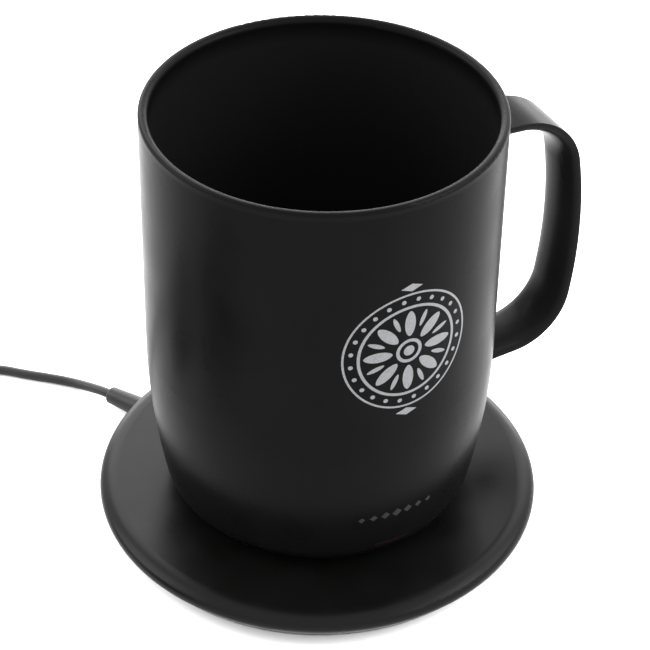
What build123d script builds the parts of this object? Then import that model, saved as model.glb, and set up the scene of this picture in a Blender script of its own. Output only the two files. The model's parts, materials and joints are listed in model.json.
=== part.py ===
from build123d import *
import math
import os

# A self heating mug on its charging coaster, with the coaster's cord and wall adaptor.
# Millimetres. The origin is on the mug's axis, on the surface that the coaster stands on.
# +Z is up, +X points along the handle, and the front with its light faces -Y.

os.makedirs("parts", exist_ok=True)

# Shared by all pieces
overrun = 1.0           # how far a cutting solid runs past what it cuts
slip = 0.05             # gap round a piece that slides or drops into its pocket
ease = 0.1              # gap round a piece that is laid or pushed into place
hole_ease = 0.15        # gap round a screw's shank in the piece that it holds

# Coaster: the saucer that charges the mug
coaster_height = 9.1
shoulder_radius = 6.0   # broad arc where the top turns down
nose_radius = 1.9       # tight arc at the widest place
shoulder_tilt = 35.0    # degrees of the broad arc
coaster_margin = 12.4   # how far the coaster reaches past the mug
coaster_undercut = 3.6  # from the widest place in to the lower edge
pad_gap = 1.3           # height of the coaster's lower edge over the table
cover_wall = 1.8
cover_foot_wall = 3.4   # from the lower edge in to the cavity
base_lap = 0.9          # how far the base reaches under the cavity's wall
base_thickness = 2.0
pad_inset = 5.8         # from the lower edge
pad_recess = 0.3
boss_radius = 2.6
boss_inset = 6.9        # from the cavity's wall to the middle of a screw
boss_angles = (33.0, 153.0, 273.0)

# Coaster: contacts and electronics
island_gap = 1.3        # between the island and the recess under the mug
island_rise = 0.8       # how far the island stands over the coaster's top
island_top_wall = 1.5
island_wall = 2.0
island_flange = 2.0
island_flange_thickness = 1.0
coaster_board_inset = 8.5  # from the middle of the screws
coaster_board_thickness = 1.1
coaster_board_gap = 0.6  # height of the rib under the board
board_rim = 1.2
barrel_radius = 1.9
barrel_bore = 1.55
barrel_lip_bore = 1.2
barrel_lip = 0.6
barrel_floor = 0.3
pin_radius = 1.5
pin_neck_radius = 1.15
pin_shank = 1.75
pin_rise = 0.6          # how far a pin stands over the island, and its travel
pin_tip_round = 0.35
spring_wire = 0.3
spring_radius = 1.1
spring_turns = 4

# Mug: outer form
foot_rise = 0.3         # how far the rubber foot stands under the mug's underside
body_height = 102.0
mug_radius = 40.0
straight_height = 41.7  # above the underside, where the wall starts to draw in
taper_radius = 177.0
corner_radius = 7.8
shell_wall = 1.0

# Mug: liner and lip
lip_height = 1.8
lip_outer_round = 0.8
lip_inner_round = 1.4
lip_width = 2.3
liner_wall = 0.9
liner_corner = 10.0
stud_radius = 1.9
stud_angle = 34.13      # degrees from the X axis
stud_thread = 7.0

# Mug: base
cap_edge = 1.1          # height of the cap's rim that shows under the shell
gasket_thickness = 0.4
gasket_inset = 0.3
spigot_gap = 0.3
cap_thickness = 2.8
recess_depth = 1.2
recess_wall = 1.2       # between the recess and the foot ring
foot_margin = 1.27       # from the foot ring to where the corner starts
foot_width = 4.0
foot_thickness = 1.0
cap_boss_height = 1.2
post_radius = 3.0
screw_radius = 1.2
screw_head_radius = 1.6
screw_head_height = 0.9
screw_length = 12.8
drive_radius = 0.7      # hexagon socket of every screw, across its corners, halved
drive_depth = 0.5

# Mug: contacts on the underside
contact_ring_share = 0.5  # outer radius, in shares of the island's
contact_ring_width = 2.5
contact_centre_radius = 3.0
contact_thickness = 0.6
contact_leg_radius = 0.6
contact_leg_angles = (90.0, 210.0, 330.0)

# Mug: power button
button_clearance = 1.0  # from the contact ring, towards the front
button_radius = 3.5
button_gap = 0.1
button_proud = 0.3      # below the recess
button_length = 1.6
button_flange = 0.8
button_flange_thickness = 0.4
button_travel = 0.5
button_round = 0.25
switch_width = 4.5

# Mug: electronics
board_margin = 4.41      # from the inside of the shell
board_thickness = 1.2
tray_gap = 1.6          # between the board and the battery tray
tray_inset = 3.0        # from the edge of the board
tray_thickness = 1.2
guide_width = 8.6
guide_height = 1.0
guide_gap = 0.1         # between the light guide and the tray
guide_root_inset = 0.8  # from the edge of the board
guide_root_length = 2.0
led_place = -2.1        # from the middle of the light guide
led_width = 3.0
led_length = 1.6
led_height = 1.2

# Mug: battery and heater
cell_count = 3
cell_gap = 0.5          # from cell to cell
cell_margin = 1.75      # from the outer cells to the tray's edge
cell_end_gap = 0.55     # between a stud and the wall at the cells' ends
rib_height = 4.6
rib_thickness = 2.0
rib_share = 0.637       # place of a rib, in shares of a cell's half length
end_wall_thickness = 1.0
end_wall_width = 28.0
end_wall_height = 11.0
link_thickness = 0.3
link_width = 6.0
link_overhang = 3.5     # past the middle of the outer cells
tab_width = 5.0
tab_place = -5.5
heater_gap = 0.6        # from the studs
heater_thickness = 0.4
heater_tail_width = 4.0
heater_tail_inset = 1.6  # from the edge of the board
cable_thickness = 0.2
disc_gap = 0.3          # over the cells
disc_inset = 1.2        # from where the liner's corner starts
disc_thickness = 2.4
disc_bite = 2.3         # radius of the cuts that clear the studs
sensor_inset = 1.6      # from the edge of the insulation
sensor_length = 1.6
sensor_width = 2.4
sensor_height = 1.2
sensor_gap = 0.3

# Handle: a strap, flat outside and crowned inside. Reaches run from the wall, heights
# from the underside of the mug and in shares of its height.
handle_width = 13.6
handle_edge = 0.6
handle_crown = 3.1
handle_edge_round = 0.3
handle_root_depth = 3.0
handle_reaches = (-handle_root_depth, 21.3, 26.8, 22.5, -handle_root_depth)
handle_height_shares = (0.8671, 0.8539, 0.5457, 0.2293, 0.2118)
handle_bends = (17.3, 117.8, 15.1)

# Strain relief and cord
relief_angle = 119.7    # where the cord leaves the coaster
relief_height = 3.2
relief_root_radius = 2.9
relief_tip_radius = 2.15
relief_length = 10.3    # from the coaster's edge to the tip
relief_tip_round = 0.8
relief_neck_radius = 1.9
relief_flange_width = 7.0
relief_flange_height = 2.9
relief_flange_thickness = 1.2
cord_diameter = 2.4
inner_cord_inset = 10.4  # from the cavity's wall to the end of the jacket
clamp_inset = 5.4       # from the cavity's wall to the middle of the clamp
clamp_length = 5.0
clamp_width = 14.0
clamp_height = 2.2
clamp_screw_gap = 5.0
clamp_screw_radius = 0.8
clamp_screw_head = 1.6
clamp_screw_head_height = 0.9
clamp_screw_length = 3.5
lead_radius = 0.5
lead_gap = 0.65
lead_bend = 1.6
terminal_inset = 2.0    # from the edge of the board
terminal_length = 4.5
terminal_width = 6.0
terminal_height = 2.0
terminal_entry = 0.9    # height of the wires' entry over the board

# The cord's own route, chosen by hand: along X and Y from the tip of the strain relief,
# and height over the table
cord_route = [
    (-2.81, 5.99, 2.1),
    (-5.65, 10.66, 1.3),
    (-10.01, 14.92, 1.2),
    (-15.17, 19.22, 1.2),
    (-20.48, 24.44, 1.2),
    (-28.4, 28.6, 1.2),
    (-38.4, 29.6, 1.2),
    (-48.9, 26.1, 1.2),
    (-58.9, 19.1, 1.2),
    (-66.9, 15.04, 1.2),
    (-74.54, 15.04, 1.2),
]

# Its put-away coil, and its route from there to the adaptor
coil_outer = 19.5       # centre line of the widest turn
coil_pitch = 2.85       # from turn to turn, sideways and upwards
coil_layer_turns = 4
coil_layers = 4
coil_turns = 15.25
coil_start_share = 0.25  # of a turn from +X, where the cord joins the coil
climb_turns = 0.5       # turns that the cord takes from layer to layer
tail_start_run = 7.0
tail_route = [
    (-94.96, -19.36, 9.0),
    (-95.76, -24.56, 9.0),
    (-95.76, -29.26, 9.0),
]
bend_share = 0.45       # share of a run that the arc at its end may take
same_place = 0.01       # turns

# Wall adaptor at the far end of the cord
adaptor_length = 44.0
adaptor_width = 30.0
adaptor_height = 26.0
adaptor_round = 3.0
adaptor_wall = 1.6
adaptor_face_thickness = 2.5
adaptor_spigot = 2.0
adaptor_relief_length = 12.0
adaptor_flange_radius = 3.2
prong_width = 6.35
prong_thickness = 1.5
prong_length = 17.0
prong_spacing = 12.7
prong_inside = 6.0
adaptor_board_width = 22.0
adaptor_board_length = 30.0
adaptor_board_thickness = 1.4
adaptor_rib_height = 3.4
adaptor_rib_thickness = 1.5
transformer_length = 13.0
transformer_width = 14.0
transformer_height = 12.0
capacitor_radius = 4.0
capacitor_length = 12.0

# Heights and radii that follow from the sizes above: the coaster
coaster_radius = mug_radius + coaster_margin
coaster_foot_radius = coaster_radius - coaster_undercut
cover_cavity = coaster_foot_radius - cover_foot_wall
base_radius = cover_cavity + base_lap
pad_radius = coaster_foot_radius - pad_inset
boss_ring = cover_cavity - boss_inset
coaster_board_radius = boss_ring - coaster_board_inset
terminal_place = coaster_board_radius - terminal_inset
inner_cord_end = cover_cavity - inner_cord_inset
clamp_place = cover_cavity - clamp_inset
relief_reach = coaster_radius + relief_length
nose_x = coaster_radius - nose_radius
flat_radius = nose_x - (shoulder_radius - nose_radius) * math.sin(math.radians(shoulder_tilt))
shoulder_z = coaster_height - shoulder_radius
nose_z = shoulder_z + (shoulder_radius - nose_radius) * math.cos(math.radians(shoulder_tilt))
base_top = pad_gap + base_thickness
pad_top = pad_gap + pad_recess
cover_ceiling = coaster_height - cover_wall
coaster_board_low = base_top + coaster_board_gap
coaster_board_high = coaster_board_low + coaster_board_thickness
island_top = coaster_height + island_rise
pin_tip = island_top + pin_rise
lip_floor = island_top - barrel_lip
pin_shank_top = lip_floor - slip
pin_shank_low = pin_shank_top - pin_shank
spring_low = coaster_board_high + barrel_floor

# The mug
underside = coaster_height + foot_rise
rim = underside + body_height
shell_top = rim - lip_height
straight_z = underside + straight_height
corner_z = underside + corner_radius
corner_x = mug_radius - taper_radius + math.sqrt(
    (taper_radius - corner_radius) ** 2 - (straight_z - corner_z) ** 2
)
foot_outer = corner_x - foot_margin
foot_inner = foot_outer - foot_width
stud_ring = (foot_inner + foot_outer) / 2
stud_x = stud_ring * math.cos(math.radians(stud_angle))
stud_y = stud_ring * math.sin(math.radians(stud_angle))
stud_places = [(x, y) for x in (-stud_x, stud_x) for y in (-stud_y, stud_y)]
recess_radius = foot_inner - recess_wall
island_radius = recess_radius - island_gap
contact_ring_outer = island_radius * contact_ring_share
contact_ring_inner = contact_ring_outer - contact_ring_width
ring_pin_place = (contact_ring_inner + contact_ring_outer) / 2
button_place = contact_ring_outer + button_clearance + button_radius
flange_top = underside + cap_edge
seam = flange_top + gasket_thickness
cap_top = underside + cap_thickness
recess_top = underside + recess_depth
foot_top = coaster_height + foot_thickness
board_low = cap_top + cap_boss_height
board_high = board_low + board_thickness
board_wall = corner_x + math.sqrt((corner_radius - shell_wall) ** 2 - (corner_z - board_low) ** 2)
board_radius = board_wall - board_margin
guide_root_place = board_radius - guide_root_inset
heater_tail_reach = board_radius - heater_tail_inset
tray_radius = board_radius - tray_inset
tray_low = board_high + tray_gap
tray_high = tray_low + tray_thickness
guide_high = tray_low - guide_gap
guide_low = guide_high - guide_height
cell_row = tray_radius - cell_margin - cell_gap * (cell_count - 1) / 2
cell_radius = cell_row / cell_count
cell_pitch = 2 * cell_radius + cell_gap
cell_z = tray_high + ease + cell_radius
link_start = stud_x - stud_radius - cell_end_gap - end_wall_thickness - ease - link_thickness
disc_low = cell_z + cell_radius + disc_gap
heater_low = disc_low + disc_thickness
heater_radius = stud_ring - stud_radius - heater_gap
liner_underside = heater_low + heater_thickness
liner_floor = liner_underside + liner_wall
liner_radius = mug_radius - lip_width
disc_radius = liner_radius - liner_corner - disc_inset
sensor_place = disc_radius - sensor_inset
button_low = recess_top - button_proud
button_high = button_low + button_length
switch_low = button_high + button_travel + slip
well_low = button_high - button_flange_thickness

# The cord's ends, and shared sizes
relief_flange_start = math.sqrt(
    cover_cavity ** 2 - (relief_flange_width / 2) ** 2
) - ease - relief_flange_thickness
cord_radius = cord_diameter / 2
layer_run = coil_layer_turns * coil_pitch
wide = mug_radius + coaster_radius  # wider than any round piece, for cutting slabs


def disc(radius, low, high, x=0, y=0):
    """An upright cylinder between two heights."""
    return Pos(x, y, (low + high) / 2) * Cylinder(radius, high - low)


def ring(outer, inner, low, high, x=0, y=0):
    """An upright tube between two heights."""
    return disc(outer, low, high, x, y) - disc(inner, low, high, x, y)


def block(x_low, x_high, y_low, y_high, low, high):
    """A box given by its limits."""
    middle = Pos((x_low + x_high) / 2, (y_low + y_high) / 2, (low + high) / 2)
    return middle * Box(x_high - x_low, y_high - y_low, high - low)


def rod(radius, start, end, x=0, z=0):
    """A cylinder along Y between two places."""
    return Pos(x, (start + end) / 2, z) * Rot(90, 0, 0) * Cylinder(radius, end - start)


def spin(edges):
    """Turn a closed half section, drawn in the XZ plane, about the Z axis."""
    return revolve(Face(Wire(edges)), axis=Axis.Z)


def at_angle(radius, angle):
    """The place at a radius and an angle in degrees."""
    turn = math.radians(angle)
    return radius * math.cos(turn), radius * math.sin(turn)


def outward(piece, angle):
    """Turn a piece that points along +Y so that it points along an angle."""
    return Rot(0, 0, angle - 90) * piece


def screw_up(radius, head_radius, head_low, head_height, length, x, y):
    """A socket screw that goes in from below."""
    head = disc(head_radius, head_low, head_low + head_height, x, y)
    shank = disc(radius, head_low + head_height, head_low + head_height + length, x, y)
    socket = extrude(Pos(x, y, head_low) * RegularPolygon(drive_radius, 6), drive_depth)
    return head + shank - socket


def bead(start, angle_in, centre_x, centre_z, radius, angle_out):
    """An arc in the XZ plane about a centre, between two tilts from upright."""
    def place(tilt):
        turn = math.radians(tilt)
        return Vector(centre_x + radius * math.sin(turn), 0, centre_z + radius * math.cos(turn))
    return ThreePointArc(start, place((angle_in + angle_out) / 2), place(angle_out))


def taper_touch(inset):
    """Where the corner arc meets the taper arc of the form, drawn in by an inset."""
    run = Vector(corner_x - (mug_radius - taper_radius), 0, corner_z - straight_z).normalized()
    centre = Vector(mug_radius - taper_radius, 0, straight_z)
    return centre + run * (taper_radius - inset), run


def wall_radius(height, inset):
    """Radius of the mug's form, drawn in by an inset, at a height near its corner."""
    return corner_x + math.sqrt((corner_radius - inset) ** 2 - (corner_z - height) ** 2)


def mug_form(inset, top):
    """The mug's whole outer form as a solid, drawn in by an inset, up to a height."""
    low = Vector(0, 0, underside + inset)
    corner_start = Vector(corner_x, 0, underside + inset)
    touch, run = taper_touch(inset)
    diagonal = (run + Vector(0, 0, -1)).normalized()
    corner_middle = Vector(corner_x, 0, corner_z) + diagonal * (corner_radius - inset)
    taper_centre = Vector(mug_radius - taper_radius, 0, straight_z)
    taper_middle = taper_centre + (run + Vector(1, 0, 0)).normalized() * (taper_radius - inset)
    straight_start = Vector(mug_radius - inset, 0, straight_z)
    straight_end = Vector(mug_radius - inset, 0, top)
    return spin([
        Line(low, corner_start),
        ThreePointArc(corner_start, corner_middle, touch),
        ThreePointArc(touch, taper_middle, straight_start),
        Line(straight_start, straight_end),
        Line(straight_end, Vector(0, 0, top)),
        Line(Vector(0, 0, top), low),
    ])


def coaster_form():
    """The coaster's outer form as a solid."""
    foot = Vector(coaster_foot_radius, 0, pad_gap)
    to_nose = Vector(nose_x, 0, nose_z) - foot
    lean = math.asin(nose_radius / to_nose.length)
    rise = math.atan2(to_nose.Z, to_nose.X) - lean
    side = math.sqrt(to_nose.length ** 2 - nose_radius ** 2)
    touch = foot + Vector(math.cos(rise), 0, math.sin(rise)) * side
    undercut_tilt = 180 - math.degrees(rise)
    flat_end = Vector(flat_radius, 0, coaster_height)
    shoulder = bead(flat_end, 0, flat_radius, shoulder_z, shoulder_radius, shoulder_tilt)
    nose = ThreePointArc(
        shoulder @ 1,
        bead(flat_end, shoulder_tilt, nose_x, nose_z, nose_radius, undercut_tilt - 90) @ 1,
        touch,
    )
    return spin([
        Line(Vector(0, 0, coaster_height), flat_end),
        shoulder,
        nose,
        Line(touch, foot),
        Line(foot, Vector(0, 0, pad_gap)),
        Line(Vector(0, 0, pad_gap), Vector(0, 0, coaster_height)),
    ])


def relief_slot(inner, low, high):
    """The slot for the cord's neck, from a radius outwards, between two heights."""
    half = relief_neck_radius + slip
    return outward(block(-half, half, inner, wide, low, high), relief_angle)


# Coaster cover: top and side in one piece, open below
def coaster_cover():
    cover = coaster_form()
    cover -= disc(base_radius + ease, 0, base_top)
    cover -= disc(cover_cavity, base_top - overrun, cover_ceiling)
    for angle in boss_angles:
        x, y = at_angle(boss_ring, angle)
        cover += disc(boss_radius, base_top, cover_ceiling + overrun, x, y)
        cover -= disc(screw_radius, base_top - overrun, cover_ceiling, x, y)
    cover -= disc(island_radius + slip, cover_ceiling - overrun, coaster_height + overrun)
    cover -= relief_slot(cover_cavity - overrun, 0, relief_height)
    neck = rod(relief_neck_radius + slip, cover_cavity - overrun, coaster_radius + overrun, z=relief_height)
    cover -= outward(neck, relief_angle)
    return cover


# Coaster base: closes the cover from below and carries the board and the clamp
def coaster_base():
    base = disc(base_radius, pad_gap, base_top)
    base -= disc(pad_radius + slip, 0, pad_top)
    base += ring(island_radius, island_radius - island_wall, base_top, coaster_board_low)
    rim_inner = coaster_board_radius + ease
    base += ring(rim_inner + board_rim, rim_inner, base_top, coaster_board_high)
    base -= relief_slot(rim_inner - overrun, 0, coaster_height)
    for angle in boss_angles:
        x, y = at_angle(boss_ring, angle)
        base -= disc(screw_radius + hole_ease, 0, base_top + overrun, x, y)
        base -= disc(screw_head_radius + hole_ease, 0, pad_top + screw_head_height, x, y)
    for side in (-clamp_screw_gap, clamp_screw_gap):
        tip = base_top + clamp_height - clamp_screw_length
        hole = disc(clamp_screw_radius, tip, base_top + overrun, side, clamp_place)
        base -= outward(hole, relief_angle)
    return base


def coaster_pad():
    return disc(pad_radius, 0, pad_top)


def coaster_screws():
    screws = []
    for angle in boss_angles:
        x, y = at_angle(boss_ring, angle)
        length = cover_ceiling - base_top
        screws.append(screw_up(screw_radius, screw_head_radius, pad_top, screw_head_height, length, x, y))
    return Compound(screws)


def pin_places():
    return [(0, 0), (0, ring_pin_place)]


# Contact island: the raised disc that locates the mug and guides the two spring pins
def contact_island():
    inner = island_radius - island_wall
    island = disc(island_radius, coaster_board_high, island_top)
    island += disc(
        island_radius + island_flange, cover_ceiling - island_flange_thickness, cover_ceiling
    )
    island -= disc(inner, coaster_board_high, island_top - island_top_wall)
    island = fillet(island.edges().group_by(Axis.Z)[-1], island_rise / 2)
    for x, y in pin_places():
        island -= disc(barrel_radius + slip, coaster_board_high, island_top + overrun, x, y)
    return island


def pin_barrels():
    barrels = []
    for x, y in pin_places():
        barrel = disc(barrel_radius, coaster_board_high, island_top, x, y)
        barrel -= disc(barrel_bore, spring_low, lip_floor, x, y)
        barrel -= disc(barrel_lip_bore, lip_floor - overrun, island_top + overrun, x, y)
        barrels.append(barrel)
    return Compound(barrels)


def pin_plunger(x, y):
    """A spring pin: a wide shank that stays in its barrel and a neck that stands out."""
    tip = disc(pin_neck_radius, pin_shank_top, pin_tip, x, y)
    tip = fillet(tip.edges().group_by(Axis.Z)[-1], pin_tip_round)
    return tip + disc(pin_radius, pin_shank_low, pin_shank_top, x, y)


def pin_spring(x, y):
    """The spring under a pin, from the floor of its barrel to its shank."""
    rise = pin_shank_low - spring_low - spring_wire
    start = (x, y, spring_low + spring_wire / 2)
    coils = Helix(rise / spring_turns, rise, spring_radius, center=start)
    section = Plane(origin=coils @ 0, z_dir=coils % 0) * Circle(spring_wire / 2)
    return sweep(section, path=coils)


def coaster_board():
    return disc(coaster_board_radius, coaster_board_low, coaster_board_high)


def terminal_block():
    """The block in which the two wires of the cord end, pointing along +Y."""
    return block(
        -terminal_width / 2, terminal_width / 2,
        terminal_place - terminal_length, terminal_place,
        coaster_board_high, coaster_board_high + terminal_height,
    )


# Parts on the coaster's board: x, y, size along x, size along y, height, in shares of the
# room inside the island's wall
coaster_part_shares = [
    (-0.46, 0.02, 0.30, 0.30, 0.72),
    (-0.42, -0.45, 0.26, 0.18, 0.30),
    (0.45, 0.05, 0.22, 0.22, 0.28),
    (0.42, -0.40, 0.30, 0.16, 0.42),
    (0.00, -0.55, 0.16, 0.30, 0.30),
    (0.55, 0.42, 0.12, 0.18, 0.24),
]


def coaster_board_parts():
    room = island_radius - island_wall
    height = island_top - island_top_wall - coaster_board_high
    parts = [outward(terminal_block(), relief_angle)]
    for x, y, x_size, y_size, tall in coaster_part_shares:
        parts.append(block(
            room * (x - x_size / 2), room * (x + x_size / 2),
            room * (y - y_size / 2), room * (y + y_size / 2),
            coaster_board_high, coaster_board_high + height * tall,
        ))
    return Compound(parts)


def strain_relief(root, tip_place, z, root_radius):
    """A tapered sleeve along +Y from a root to its rounded tip."""
    length = tip_place - root
    cone = Pos(0, (root + tip_place) / 2, z) * Rot(-90, 0, 0) * Cone(root_radius, relief_tip_radius, length)
    return fillet(cone.edges().group_by(Axis.Y)[-1], relief_tip_round)


def cord_relief():
    root = coaster_foot_radius - overrun
    relief = outward(strain_relief(root, relief_reach, relief_height, relief_root_radius), relief_angle)
    relief -= coaster_form()
    neck = rod(relief_neck_radius, relief_flange_start, coaster_radius, z=relief_height)
    flange = block(
        -relief_flange_width / 2, relief_flange_width / 2,
        relief_flange_start, relief_flange_start + relief_flange_thickness,
        base_top, base_top + relief_flange_height,
    )
    return relief + outward(neck + flange, relief_angle)


def inner_cord():
    jacket = rod(cord_radius, inner_cord_end, relief_flange_start, z=relief_height)
    return outward(jacket, relief_angle)


def cord_clamp():
    clamp = block(
        -clamp_width / 2, clamp_width / 2,
        clamp_place - clamp_length / 2, clamp_place + clamp_length / 2,
        base_top, base_top + clamp_height,
    )
    clamp -= rod(cord_radius, clamp_place - clamp_length, clamp_place + clamp_length, z=relief_height)
    for side in (-clamp_screw_gap, clamp_screw_gap):
        clamp -= disc(clamp_screw_radius + hole_ease, 0, coaster_height, side, clamp_place)
    return outward(clamp, relief_angle)


def clamp_screws():
    screws = []
    head_low = base_top + clamp_height
    for side in (-clamp_screw_gap, clamp_screw_gap):
        head = disc(clamp_screw_head, head_low, head_low + clamp_screw_head_height, side, clamp_place)
        shank = disc(clamp_screw_radius, head_low - clamp_screw_length, head_low, side, clamp_place)
        socket_start = Pos(side, clamp_place, head_low + clamp_screw_head_height - drive_depth)
        socket = extrude(socket_start * RegularPolygon(drive_radius, 6), drive_depth)
        screws.append(outward(head + shank - socket, relief_angle))
    return Compound(screws)


def coaster_leads():
    """The cord's two wires, from its cut jacket up to the terminal block."""
    entry = coaster_board_high + terminal_entry
    wires = []
    for side in (-1, 1):
        near = side * lead_gap
        far = side * terminal_width / 4
        step = (inner_cord_end - terminal_place) / 3
        path = FilletPolyline(
            (near, inner_cord_end, relief_height),
            (near, inner_cord_end - step, relief_height),
            (far, terminal_place + step, entry),
            (far, terminal_place, entry),
            radius=lead_bend,
        )
        section = Plane(origin=path @ 0, z_dir=path % 0) * Circle(lead_radius)
        wires.append(outward(sweep(section, path=path), relief_angle))
    return Compound(wires)


# Mug shell, liner and handle
def outer_shell():
    shell = mug_form(0, shell_top) - mug_form(shell_wall, shell_top + overrun)
    shell -= disc(wide, 0, seam)
    half = guide_width / 2 + slip
    shell -= block(-half, half, -wide, 0, guide_low - slip, guide_high + slip)
    return shell


def inner_liner():
    outer = liner_radius + liner_wall
    corner = liner_corner + liner_wall
    corner_height = liner_floor + liner_corner
    corner_place = liner_radius - liner_corner
    half_turn = math.sin(math.radians(45))
    lip_out = mug_radius - lip_outer_round
    lip_in = liner_radius + lip_inner_round

    def point(x, z):
        return Vector(x, 0, z)

    return spin([
        Line(point(0, liner_underside), point(corner_place, liner_underside)),
        ThreePointArc(
            point(corner_place, liner_underside),
            point(corner_place + corner * half_turn, corner_height - corner * half_turn),
            point(outer, corner_height),
        ),
        Line(point(outer, corner_height), point(outer, shell_top)),
        Line(point(outer, shell_top), point(mug_radius, shell_top)),
        Line(point(mug_radius, shell_top), point(mug_radius, rim - lip_outer_round)),
        ThreePointArc(
            point(mug_radius, rim - lip_outer_round),
            point(
                lip_out + lip_outer_round * half_turn,
                rim - lip_outer_round + lip_outer_round * half_turn,
            ),
            point(lip_out, rim),
        ),
        Line(point(lip_out, rim), point(lip_in, rim)),
        ThreePointArc(
            point(lip_in, rim),
            point(
                lip_in - lip_inner_round * half_turn,
                rim - lip_inner_round + lip_inner_round * half_turn,
            ),
            point(liner_radius, rim - lip_inner_round),
        ),
        Line(point(liner_radius, rim - lip_inner_round), point(liner_radius, corner_height)),
        ThreePointArc(
            point(liner_radius, corner_height),
            point(
                corner_place + liner_corner * half_turn,
                corner_height - liner_corner * half_turn,
            ),
            point(corner_place, liner_floor),
        ),
        Line(point(corner_place, liner_floor), point(0, liner_floor)),
        Line(point(0, liner_floor), point(0, liner_underside)),
    ])


def liner_studs():
    """Four studs welded under the liner; the screws of the base pull on them."""
    studs = []
    for x, y in stud_places:
        stud = disc(stud_radius, tray_high, liner_underside, x, y)
        stud -= disc(screw_radius, tray_high - overrun, tray_high + stud_thread, x, y)
        studs.append(stud)
    return Compound(studs)


def handle():
    corners = [
        (mug_radius + reach, 0, underside + body_height * share)
        for reach, share in zip(handle_reaches, handle_height_shares)
    ]
    path = FilletPolyline(*corners, radius=handle_bends)
    half = handle_width / 2
    outline = Wire([
        Line((-half, 0), (half, 0)),
        Line((half, 0), (half, -handle_edge)),
        EllipticalCenterArc((0, -handle_edge), half, handle_crown, start_angle=0, arc_size=-180),
        Line((-half, -handle_edge), (-half, 0)),
    ])
    section = Face(outline)
    section = fillet(section.vertices().group_by(Axis.Y)[-1], handle_edge_round)
    start = Plane(origin=path @ 0, x_dir=(0, 1, 0), z_dir=path % 0)
    return sweep(start * section, path=path) - mug_form(0, rim)


# Mug base: cap, gasket, foot and screws
def base_cap():
    cap = mug_form(0, rim) & disc(wide, 0, flange_top)
    cap += disc(wall_radius(seam, shell_wall) - spigot_gap, underside, cap_top)
    for x, y in stud_places:
        cap += disc(post_radius, cap_top, board_low, x, y)
    cap -= disc(recess_radius, underside - overrun, recess_top)
    cap -= ring(foot_outer + slip, foot_inner - slip, underside - overrun, foot_top)
    for x, y in stud_places:
        cap -= disc(screw_radius + hole_ease, underside, board_low + overrun, x, y)
        cap -= disc(screw_head_radius + hole_ease, foot_top, foot_top + screw_head_height, x, y)
    pocket_top = recess_top + contact_thickness
    cap -= ring(contact_ring_outer + slip, contact_ring_inner - slip, underside, pocket_top)
    cap -= disc(contact_centre_radius + slip, underside, pocket_top)
    cap -= disc(contact_leg_radius + hole_ease, underside, board_low)
    for angle in contact_leg_angles:
        x, y = at_angle(ring_pin_place, angle)
        cap -= disc(contact_leg_radius + hole_ease, underside, board_low, x, y)
    cap -= disc(button_radius + button_gap, underside, board_low, 0, -button_place)
    well = button_radius + button_flange + button_gap
    cap -= disc(well, well_low, board_low, 0, -button_place)
    return cap


def base_gasket():
    outer = wall_radius(flange_top, gasket_inset)
    return ring(outer, wall_radius(seam, shell_wall) - spigot_gap, flange_top, seam)


def foot_ring():
    return ring(foot_outer, foot_inner, coaster_height, foot_top)


def base_screws():
    return Compound([
        screw_up(screw_radius, screw_head_radius, foot_top, screw_head_height, screw_length, x, y)
        for x, y in stud_places
    ])


def contact_ring():
    pocket_top = recess_top + contact_thickness
    contact = ring(contact_ring_outer, contact_ring_inner, recess_top, pocket_top)
    for angle in contact_leg_angles:
        x, y = at_angle(ring_pin_place, angle)
        contact += disc(contact_leg_radius, recess_top, board_low, x, y)
    return contact


def contact_centre():
    contact = disc(contact_centre_radius, recess_top, recess_top + contact_thickness)
    return contact + disc(contact_leg_radius, recess_top, board_low)


def power_button():
    button = disc(button_radius, button_low, button_high, 0, -button_place)
    button = fillet(button.edges().group_by(Axis.Z)[0], button_round)
    flange = disc(button_radius + button_flange, well_low, button_high, 0, -button_place)
    return button + flange


def button_switch():
    half = switch_width / 2
    return block(-half, half, -button_place - half, -button_place + half, switch_low, board_low)


# Mug electronics
def control_board():
    board = disc(board_radius, board_low, board_high)
    for x, y in stud_places:
        board -= disc(screw_radius + hole_ease, board_low, board_high, x, y)
    return board


# Parts on the control board: x, y, size along x, size along y, height, in shares of the
# board's radius and of the room under the tray
board_part_shares = [
    (0.27, 0.20, 0.17, 0.17, 0.55),
    (-0.30, 0.17, 0.13, 0.13, 0.80),
    (0.00, 0.47, 0.20, 0.10, 0.80),
    (-0.33, -0.33, 0.17, 0.12, 0.50),
    (0.33, -0.30, 0.12, 0.17, 0.50),
    (0.00, -0.20, 0.15, 0.15, 0.60),
]
small_part_share = 0.05
small_part_count = 6


def board_components():
    parts = []
    for x, y, x_size, y_size, tall in board_part_shares:
        parts.append(block(
            board_radius * (x - x_size / 2), board_radius * (x + x_size / 2),
            board_radius * (y - y_size / 2), board_radius * (y + y_size / 2),
            board_high, board_high + tray_gap * tall,
        ))
    side = board_radius * small_part_share
    for number in range(small_part_count):
        x = (2 * number - small_part_count + 1) * side
        y = board_radius / 3
        parts.append(block(
            x - side / 2, x + side / 2, y - side / 4, y + side / 4,
            board_high, board_high + tray_gap / 3,
        ))
    return Compound(parts)


def status_led():
    end = guide_root_length - guide_root_place
    return block(
        led_place - led_width / 2, led_place + led_width / 2,
        end, end + led_length,
        board_high, board_high + led_height,
    )


def light_guide():
    half = guide_width / 2
    blade = block(-half, half, -wide, -guide_root_place, guide_low, guide_high) & mug_form(0, shell_top)
    return blade + block(
        -half, half,
        -guide_root_place, guide_root_length - guide_root_place,
        board_high, guide_high,
    )


# Battery and heater
def cell_places():
    return [cell_pitch * (number - (cell_count - 1) / 2) for number in range(cell_count)]


def cell(y, radius, length):
    return Pos(0, y, cell_z) * Rot(0, 90, 0) * Cylinder(radius, length)


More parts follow.
